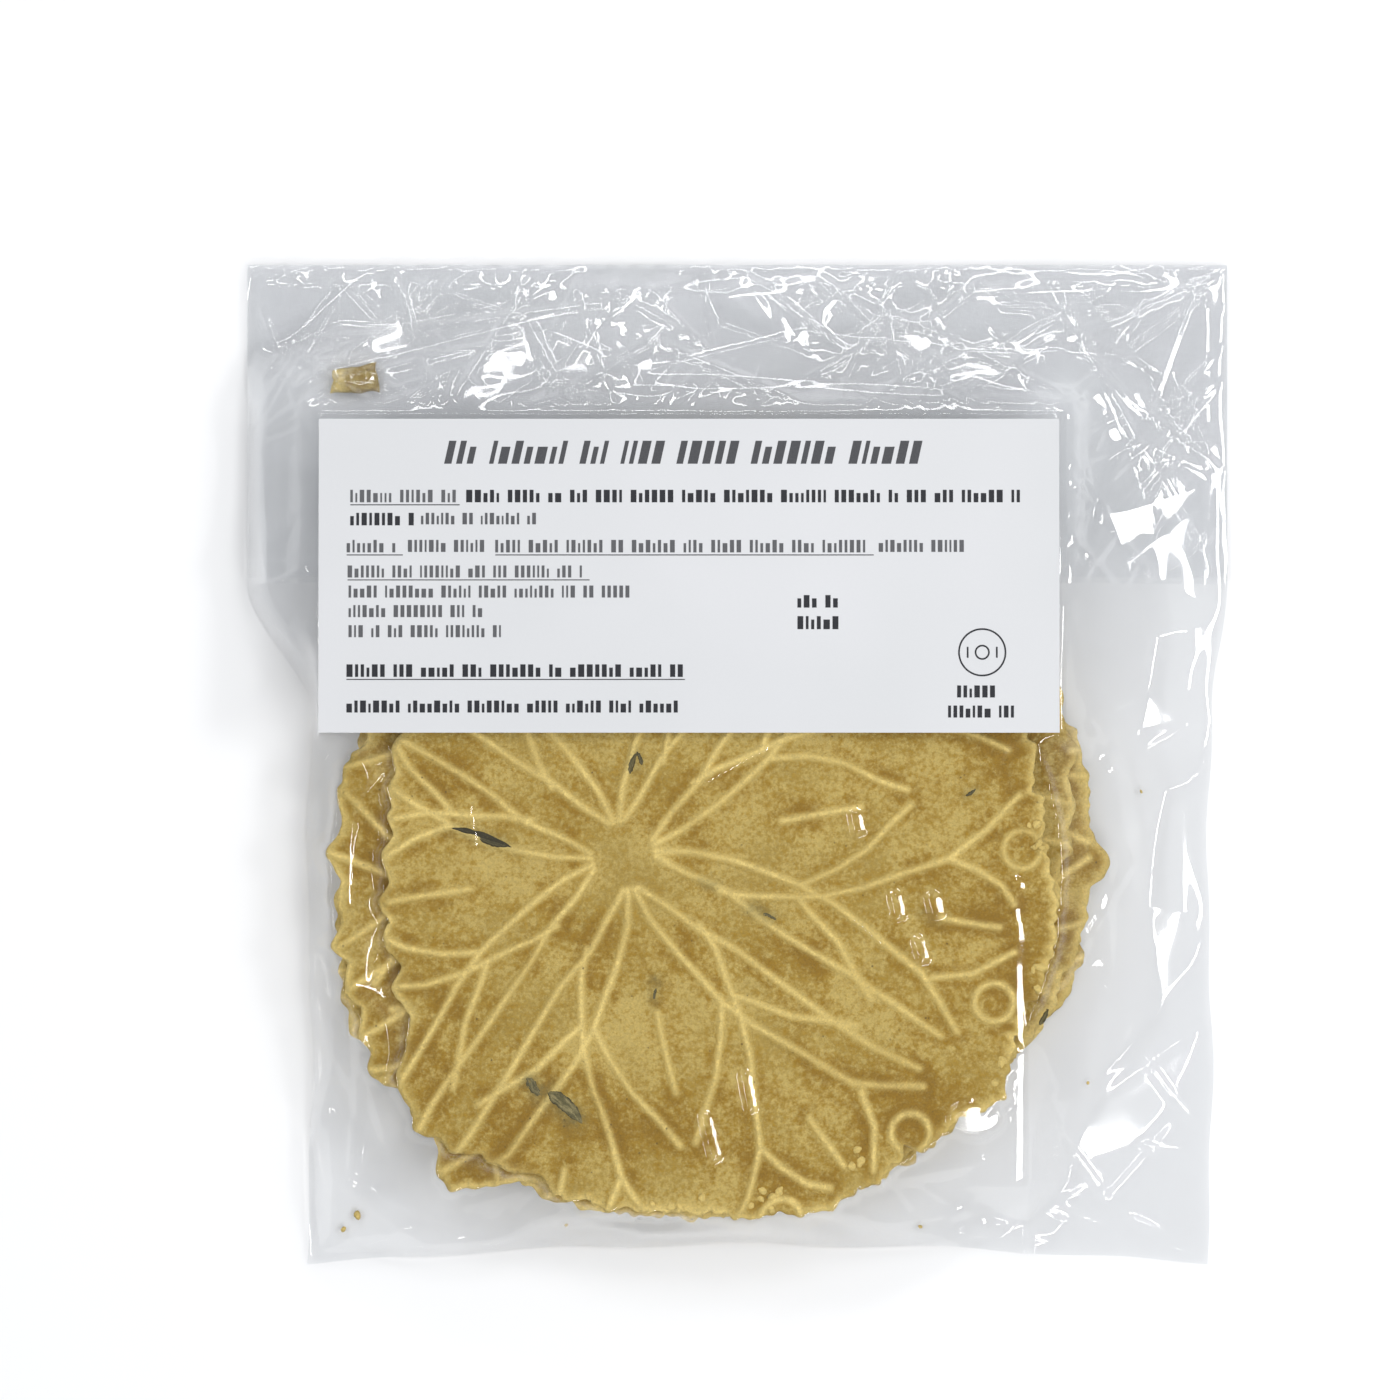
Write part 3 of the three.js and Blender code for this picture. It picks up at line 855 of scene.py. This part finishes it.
def shelf(x, y):
    """A flat patch of film beside the long crease, leaning out over the top wafer's rim."""
    out, up = x - SHELF_MIDDLE[0], y - SHELF_MIDDLE[1]
    beyond = np.maximum(np.hypot(out, 1.5 * up) - SHELF_REACH, 0)
    return SHELF_HEIGHT + SHELF_SLOPES[0] * out + SHELF_SLOPES[1] * up - 2.5 * beyond


def flat_fold(x, y, start, end, slope, width):
    """A standing crease whose flank to the left of its run is flat, and so mirrors one lamp whole."""
    run = Vector(end) - Vector(start)
    part = ((x - start[0]) * run.x + (y - start[1]) * run.y) / run.length_squared
    left = ((y - start[1]) * run.x - (x - start[0]) * run.y) / run.length
    profile = np.where(left > 0, width - left, width + 2.2 * left)
    return slope * np.maximum(profile, 0) * smooth(6 * part) * smooth(6 * (1 - part))


def tent_height(s, t):
    """The tent's height at lengths across the bag and up from its hem."""
    return look_up(tent, np.clip(s / MOUTH_WIDTH, 0, 1), np.clip(t / BAG_SPAN, 0, 1))


def front_height(across, along):
    """The front sheet: the tent over the stack, with its facets and creases."""
    x, y = bag_place(across, along)
    free = look_up(loose, across, along)
    off_label = smooth(label_distance(x, y) / 9)
    off_edge = smooth(to_outline(across, along) / 9)
    facets = facet_layers(x, y, FRONT_FACETS)
    soft = look_up(tent, across, along)
    stiff = crumple(across * MOUTH_WIDTH, along * BAG_SPAN, *TENT_FACETS, tent_height)
    stiff = np.maximum(stiff, soft - FACET_SINK)
    film = soft + (stiff - soft) * smooth(label_distance(x, y) / 5) * smooth(to_outline(across, along) / 6)
    film += facets * off_label * off_edge * (0.12 + 0.88 * free)
    film = np.maximum(film, stack_top(x, y) + FILM_CLEAR)
    film += pinches(x, y, *FRONT_PINCHES) * off_label * off_edge * (0.2 + 0.8 * free)
    weld = np.clip(1 - np.abs(along * BAG_SPAN - HEM_WIDTH) / WELD_HALF_WIDTH, 0, 1)
    film += WELD_HEIGHT * weld * smooth(to_outline(across, 0.5) / 4)
    for crease in MAIN_CREASES:
        film += pinch(x, y, *crease) * off_edge
    film = np.maximum(film, ridge_height(x, y))
    film = np.maximum(film, shelf(x, y) + 0.3 * crumple(x, y, 7, 8, 20, 1.6))
    for fold in FLAT_FOLDS:
        film += flat_fold(x, y, *fold)
    return np.maximum(film, back_height(across, along) + SHEET_GAP)


def soften(field, passes):
    """Rounds every crease of a regular grid of heights a little."""
    for _ in range(passes):
        even = field.copy()
        even[1:-1, 1:-1] = (4 * field[1:-1, 1:-1] + field[:-2, 1:-1] + field[2:, 1:-1]
                            + field[1:-1, :-2] + field[1:-1, 2:]) / 8
        field = even
    return field


LAYER_GAP = 0.06  # least gap between the flap's layers
NOSE_LENGTH = 1.4  # how far the round of the fold at the mouth runs in
UNDER_EDGE = 0.006  # the lower layer's cut edge lies this share of the length further back


def flap_layer(across, along, layer):
    """One of the flap's two layers, from the fold at the mouth to the cut edge. Layer 1 is lower."""
    x, y = bag_place(across, along)
    below = front_height(across, along)
    off_label = smooth(label_distance(x, y) / 6)
    from_fold = bag_high.y - y
    off_edge = smooth(to_outline(across, along) / 5)
    room = (label_underside(y) - below) / 3
    gaps = np.zeros_like(x)
    for number in range(1, layer + 1):
        seed = 20 * number
        facets = facet_layers(x, y, FLAP_FACETS, seed) + pinches(x, y, *FLAP_PINCHES, seed)
        gathers = 0.5 * np.abs(waves(x, y * 0.25, 8, seed + 5)) * np.exp(-from_fold / 8)
        free = 0.2 + np.maximum(0, 0.9 + facets * 0.75) * off_edge + gathers
        gaps += room * (1 - off_label) + free * off_label
    height = below + np.maximum(gaps, LAYER_GAP * layer)
    nose = np.sqrt(np.clip(1 - (1 - np.clip(from_fold / NOSE_LENGTH, 0, 1)) ** 2, 0, 1))
    back = back_height(across, along)
    return back + (height - back) * nose


def lay_film(name, columns, rows, first, last, height, passes):
    """A sheet of film over the whole width, from one share of the length to another."""
    across, along = np.meshgrid(np.linspace(0, 1, columns + 1), np.linspace(first, last, rows + 1))
    heights = soften(height(across, along), passes)
    x, y = bag_place(across, along)

    def place(a, b):
        column = np.rint((a + 1) / 2 * columns).astype(int)
        row = np.rint((b + 1) / 2 * rows).astype(int)
        return x[row, column], y[row, column], heights[row, column]

    piece = lay_grid(name, columns, rows, place)
    bpy.ops.object.shade_smooth()
    return piece


mouth = (FLAP_EDGE - bag_low.y) / BAG_SPAN
sheets = [lay_film("film_front", 308, 314, 0, 1, front_height, 1),
          lay_film("film_back", 120, 124, 0, 1, back_height, 0),
          lay_film("film_flap_under", 300, 100, mouth + UNDER_EDGE, 1, lambda a, b: flap_layer(a, b, 1), 1),
          lay_film("film_flap", 540, 178, mouth, 1, lambda a, b: flap_layer(a, b, 2), 1)]
# The back sheet faces down.
select_only(sheets[1])
bpy.ops.object.mode_set(mode="EDIT")
bpy.ops.mesh.select_all(action="SELECT")
bpy.ops.mesh.flip_normals()
bpy.ops.object.mode_set(mode="OBJECT")

FACE_ON_GLOSS = 0.033  # what one side of the film mirrors, looked at square on
clear, start = start_finish("clear_film")
slant = start.node("ShaderNodeLayerWeight", "Facing", Blend=0.5)
one_side = FACE_ON_GLOSS + (1 - FACE_ON_GLOSS) * slant ** 5.0
mirrored = (one_side * 2.0) / (one_side + 1.0)
see = start.node("ShaderNodeBsdfTransparent", Color=(0.994, 0.997, 1.0, 1))
shine = start.node("ShaderNodeBsdfAnisotropic", Color=(1, 1, 1, 1), Roughness=0.07)
end_finish(start, start.node("ShaderNodeMixShader", i0=mirrored, i1=see, i2=shine))
for piece in sheets:
    piece.data.materials.append(clear)
    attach(piece, "root")
    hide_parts("bag")


# -------------------- the label
# Half a sheet of white office paper, cut straight and stuck half on the flap and half on the front.
# It bends down with the bag towards the mouth, and its corners lift a little.
LABEL_COLUMNS, LABEL_ROWS = 148, 64
SHEET_THICKNESS = 0.12
DIM_PAPER, WHITE_PAPER = (0.645, 0.655, 0.665, 1), (0.685, 0.69, 0.705, 1)
FIBRE = (0.57, 0.585, 0.61, 1)


def on_label(a, b):
    """A point of the paper's upper face, for a and b from -1 to 1."""
    x, y = [(low + high) / 2 + share * (high - low) / 2
            for low, high, share in zip(label_low[:2], label_high[:2], (a, b))]
    corner = 0.5 * (np.abs(a) ** 7) * (np.abs(b) ** 5)
    edge = smooth((1 - np.maximum(np.abs(a), np.abs(b))) / 0.08)
    return x, y, label_underside(y) + PAPER + corner + 0.07 * waves(x, y, 34, 50) * edge


label = lay_grid("label", LABEL_COLUMNS, LABEL_ROWS, on_label)
label.name = "paper_label"
thicken(label, SHEET_THICKNESS)
bpy.ops.object.shade_smooth_by_angle(angle=math.radians(40))

paper, start = start_finish("label_paper")
place = object_place(start)
fibres = place.noise(0.5, 4, 0.7)
cloud = place.noise(45, 2, 0.5)
colour = ((cloud - 0.35) * 2.2).clamp().blend(DIM_PAPER, WHITE_PAPER)
colour = (fibres * 0.25).clamp().blend(colour, FIBRE)
end_solid_finish(start, Base_Color=colour, Roughness=0.62 + fibres * 0.15, Normal=fibres.bump(0.15, 0.05))
label.data.materials.append(paper)
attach(label, "root")
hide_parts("label")


# -------------------- the label's print
# Dark toner in rows of plain blocks: a slanted heading, rows of light and heavy blocks, some of
# them underlined, and a round emblem at the lower right. The blocks stand for words and spell nothing.
INK_LIFT = 0.03
# A row: how far right and down it starts from the label's far left corner, its length, the height
# of its blocks, how heavy they are from 0 to 1, and whether it is underlined.
ROWS = [(6.3, 14.2, 21.8, 2.5, 0.25, True), (29.4, 14.2, 111.8, 2.5, 1.0, False),
        (6.3, 18.8, 13.4, 2.5, 1.0, False), (20.4, 18.8, 24.2, 2.3, 0.35, False),
        (5.6, 24.2, 11.2, 2.5, 0.3, True), (17.8, 24.2, 15.8, 2.4, 0.3, False),
        (35.2, 24.2, 75.4, 2.5, 0.3, True), (111.6, 24.2, 17.6, 2.4, 0.3, False),
        (5.8, 29.3, 48.2, 2.4, 0.25, True), (6.0, 33.3, 57.0, 2.4, 0.3, False),
        (6.0, 37.2, 27.6, 2.4, 0.3, False), (6.0, 41.2, 31.8, 2.4, 0.3, False),
        (5.6, 49.0, 67.4, 2.5, 1.0, True), (5.6, 56.2, 66.4, 2.4, 1.0, False),
        (95.4, 35.2, 9.0, 2.5, 1.0, False), (95.4, 39.4, 9.2, 2.6, 1.0, False),
        (127.2, 53.2, 10.0, 2.4, 1.0, False), (125.4, 57.2, 14.2, 2.4, 1.0, False)]
HEADING = (26.0, 4.4, 96.6, 4.6, 0.6, False)
HEADING_SLANT = 0.22
EMBLEM_MIDDLE = (132.2, 46.6)
EMBLEM_RINGS, EMBLEM_LINE = (4.8, 1.5), 0.34
EMBLEM_SIDES = 72
EMBLEM_BAR_OUT, EMBLEM_BAR_HALF_LENGTH = 2.9, 1.1
GREY_TONER, BLACK_TONER = (0.13, 0.132, 0.14, 1), (0.014, 0.015, 0.02, 1)
UNDERLINE_STEP = 2.5
marks, mark_faces, mark_weights = [], [], []


def add_mark(corners, weight):
    """A flat inked shape, its corners given right and down from the label's far left corner."""
    mark_faces.append(tuple(range(len(marks), len(marks) + len(corners))))
    marks.extend(corners)
    mark_weights.extend([weight] * len(corners))


def ink_row(right, down, length, height, weight, underline, slant=0.0, seed=0):
    """A row of small blocks in groups, as tall as capitals or a little lower."""
    draw = np.random.default_rng(seed)
    at = right
    left_in_group = draw.integers(3, 9)
    while at < right + length - 0.5 * height:
        wide = height * draw.uniform(0.16, 0.42) * (0.8 + 0.4 * weight)
        top_edge = 0.0 if draw.random() < 0.7 else 0.26
        lean = slant * height
        add_mark([(at - lean, down + height), (at + wide - lean, down + height),
                  (at + wide - lean * top_edge, down + height * top_edge),
                  (at - lean * top_edge, down + height * top_edge)], weight)
        at += wide + height * 0.2
        left_in_group -= 1
        if left_in_group == 0:
            left_in_group = draw.integers(2, 9)
            at += height * 0.5
    if underline:
        steps = math.ceil(length / UNDERLINE_STEP)
        for step in range(steps):
            x0, x1 = right + length * step / steps, right + length * (step + 1) / steps
            y0, y1 = down + height * 1.24, down + height * 1.16
            add_mark([(x0, y0), (x1, y0), (x1, y1), (x0, y1)], 0.8)


def put_in_scene(name, data):
    """A new object of the scene, made from a mesh, a lamp or a camera."""
    made = bpy.data.objects.new(name, data)
    bpy.context.scene.collection.objects.link(made)
    return made


for number, row in enumerate(ROWS):
    ink_row(*row, seed=number)
ink_row(*HEADING, HEADING_SLANT, seed=77)
emblem_x, emblem_y = EMBLEM_MIDDLE
for side in range(EMBLEM_SIDES):
    a0, a1 = 2 * math.pi * side / EMBLEM_SIDES, 2 * math.pi * (side + 1) / EMBLEM_SIDES
    for radius in EMBLEM_RINGS:
        band = ((radius - EMBLEM_LINE, a0), (radius, a0), (radius, a1), (radius - EMBLEM_LINE, a1))
        add_mark([(emblem_x + r * math.cos(a), emblem_y - r * math.sin(a)) for r, a in band], 1.0)
for side in (-1, 1):
    bar = emblem_x + side * EMBLEM_BAR_OUT
    add_mark([(bar + dx * EMBLEM_LINE / 2, emblem_y + dy * EMBLEM_BAR_HALF_LENGTH)
              for dx, dy in ((-1, 1), (1, 1), (1, -1), (-1, -1))], 1.0)
mesh = bpy.data.meshes.new("label_print")
right, down = np.array(marks).T
half_width, half_length = (label_high.x - label_low.x) / 2, (label_high.y - label_low.y) / 2
x, y, z = on_label(right / half_width - 1, 1 - down / half_length)
mesh.from_pydata(np.column_stack([x, y, z + INK_LIFT]) * MM, [], mark_faces)
print_piece = put_in_scene("label_print", mesh)
paint(print_piece, "weight", mark_weights)
ink, start = start_finish("toner")
place = object_place(start)
weight = start.painted("weight")
worn = place.noise(0.35, 2, 0.6)
colour = (weight + (worn - 0.5) * 0.3).clamp().blend(GREY_TONER, BLACK_TONER)
end_solid_finish(start, Base_Color=colour, Roughness=0.45 + worn * 0.2)
mesh.materials.append(ink)
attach(print_piece, "root")
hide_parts("label")


# -------------------- the studio
# A plain white floor under a ring of soft strip lamps and a pale sky. The sky is dim overhead, so
# that level film stays clear and only its creases and slopes catch a lamp. Here lengths are metres.
FLOOR_REACH, FLOOR_HEIGHT = 7.0, -0.0002
# The sky's colour, by the height of a direction.
SKY = [(0.0, (0.62, 0.625, 0.64, 1)), (0.12, (0.48, 0.485, 0.5, 1)), (0.5, (0.32, 0.325, 0.34, 1)),
       (1.0, (0.12, 0.125, 0.14, 1))]
# Each lamp: degrees round from +X, degrees off straight up, its two sides, radiance.
LAMPS = [(58, 34, 0.34, 0.04, 26), (2, 44, 0.26, 0.13, 18), (-70, 40, 0.34, 0.04, 24),
         (120, 46, 0.34, 0.04, 26), (190, 38, 0.34, 0.04, 22), (-38, 30, 0.34, 0.04, 26),
         (86, 60, 0.40, 0.03, 16)]
LAMP_DISTANCE = 0.95
CEILING_STRENGTH, CEILING_ANGLE, CEILING_TILT = 0.90, 70, (8, -6)
CAMERA_HEIGHT = 2.0  # straight above the point that it aims at
AIM = Vector((-7.5, 13.0, 12.0)) * MM
FRAME_WIDTH = 0.28  # what the camera takes in across, level with that point

select_only()
bpy.ops.mesh.primitive_plane_add(size=2 * FLOOR_REACH, location=(0, 0, FLOOR_HEIGHT))
floor = bpy.context.object
floor.name = "floor"
white, start = start_finish("white_floor")
end_finish(start, start.node("ShaderNodeBsdfDiffuse", Color=(0.90, 0.905, 0.91, 1)))
floor.data.materials.append(white)

world = bpy.data.worlds.new("studio")
world.use_nodes = True
world.node_tree.nodes.clear()
start = Wire(world.node_tree)
direction = start.node("ShaderNodeTexCoord", "Generated")
up = start.node("ShaderNodeSeparateXYZ", "Z", Vector=direction)
sky = start.node("ShaderNodeValToRGB", "Color", {"stops": SKY}, Fac=up)
glow = start.node("ShaderNodeBackground", Color=sky, Strength=1.0)
start.node("ShaderNodeOutputWorld", output=slice(0), Surface=glow)
scene = bpy.context.scene
scene.world = world

for number, (azimuth, off, side_a, side_b, radiance) in enumerate(LAMPS):
    azimuth, off = math.radians(azimuth), math.radians(off)
    towards = Vector((math.cos(azimuth) * math.sin(off), math.sin(azimuth) * math.sin(off), math.cos(off)))
    lamp = bpy.data.lights.new(f"softbox_{number}", "AREA")
    lamp.shape = "RECTANGLE"
    lamp.size, lamp.size_y = side_a, side_b
    lamp.energy = radiance * math.pi * side_a * side_b
    holder = put_in_scene(f"softbox_{number}", lamp)
    holder.location = towards * LAMP_DISTANCE
    holder.rotation_euler = towards.to_track_quat("Z", "Y").to_euler()

# A wide, even light from above keeps the floor as bright far off as near the bag. No film mirrors it.
ceiling_light = bpy.data.lights.new("ceiling", "SUN")
ceiling_light.energy = CEILING_STRENGTH
ceiling_light.angle = math.radians(CEILING_ANGLE)
holder = put_in_scene("ceiling", ceiling_light)
holder.location = (0, 0, 3)
holder.rotation_euler = (math.radians(CEILING_TILT[0]), math.radians(CEILING_TILT[1]), 0)
holder.visible_glossy = False

camera = bpy.data.cameras.new("camera")
camera.sensor_width = 36
camera.lens = camera.sensor_width * (CAMERA_HEIGHT - AIM.z) / FRAME_WIDTH
camera.clip_start, camera.clip_end = 0.1, 20
eye = put_in_scene("camera", camera)
eye.location = (AIM.x, AIM.y, CAMERA_HEIGHT)
bpy.context.scene.camera = eye

scene.view_settings.view_transform = "Standard"
scene.cycles.transparent_max_bounces = 24
scene.cycles.max_bounces = 6
scene.cycles.diffuse_bounces = 2
scene.cycles.glossy_bounces = 2
scene.cycles.caustics_reflective = False
